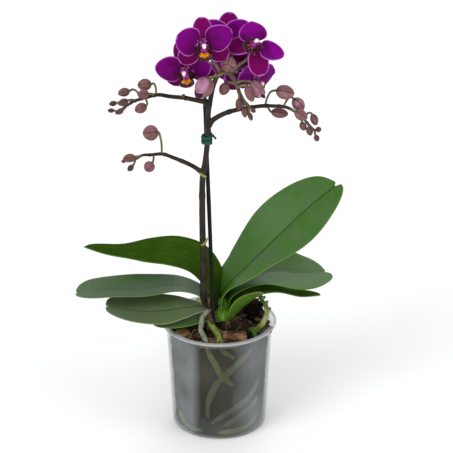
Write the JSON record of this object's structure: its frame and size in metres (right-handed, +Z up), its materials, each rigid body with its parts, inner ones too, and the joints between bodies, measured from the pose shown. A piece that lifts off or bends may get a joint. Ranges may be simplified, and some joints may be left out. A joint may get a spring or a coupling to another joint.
{
  "type": "potted orchid",
  "caption": "Moth orchid with magenta blooms on a staked, branching flower stem above strap leaves, rooted in bark in a translucent round nursery pot.",
  "frame": {"origin": "centre of the pot's flat base, on the surface it stands on", "axes": "+Z up along the pot's axis; -Y towards the side the blooms face; +X to the right as seen from there"},
  "size_m": [0.2095, 0.0917, 0.3549],
  "materials": {
    "pot": "translucent milky film, satin",
    "bark_mix": "rough dry bark chips",
    "crown": "smooth waxy leaf sheaths",
    "leaf": "waxy, low sheen",
    "stem": "smooth waxy stem",
    "old_stalk": "smooth dry stalk",
    "root": "matt velvety root skin",
    "dry_root": "dry wrinkled root",
    "bud": "soft satin",
    "petal": "velvety, fine veins",
    "lip": "waxy, fleshy",
    "stake": "dark, satin",
    "tie": "soft foam band, matt"
  },
  "bodies": {
    "root": {"pot": "pot", "stake": "stake", "old_stalk": "old_stalk", "root_silver": "root", "root_green": "root", "root_wall_high": "root", "root_wall_middle": "root", "root_wall_low": "root", "root_base_right": "root", "root_base_left": "root", "root_back_right": "root", "root_back_left": "root", "root_rim": "dry_root", "root_tip": "root", "spike": "stem", "spray_left": "stem", "spray_low": "stem", "spray_right": "stem", "crown": "crown", "leaf_left_top": "leaf", "leaf_left_middle": "leaf", "leaf_left_low": "leaf", "leaf_left_under": "leaf", "leaf_right_top": "leaf", "leaf_right_middle": "leaf", "leaf_right_low": "leaf", "leaf_right_small": "leaf", "mix": "bark_mix", "tie": "tie", "bud_round": "bud", "bud_opening": "bud", "bud_hanging": "bud", "bud_half_open": "bud", "bud_folded": "bud", "bloom_front_petals": "petal", "bloom_front_lip": "lip", "bloom_right_petals": "petal", "bloom_right_lip": "lip", "bloom_left_petals": "petal", "bloom_left_lip": "lip", "bloom_top_petals": "petal", "bloom_top_lip": "lip", "bloom_low_petals": "petal", "bloom_low_lip": "lip", "bloom_back_petals": "petal", "bloom_back_lip": "lip"}
  },
  "joints": []
}
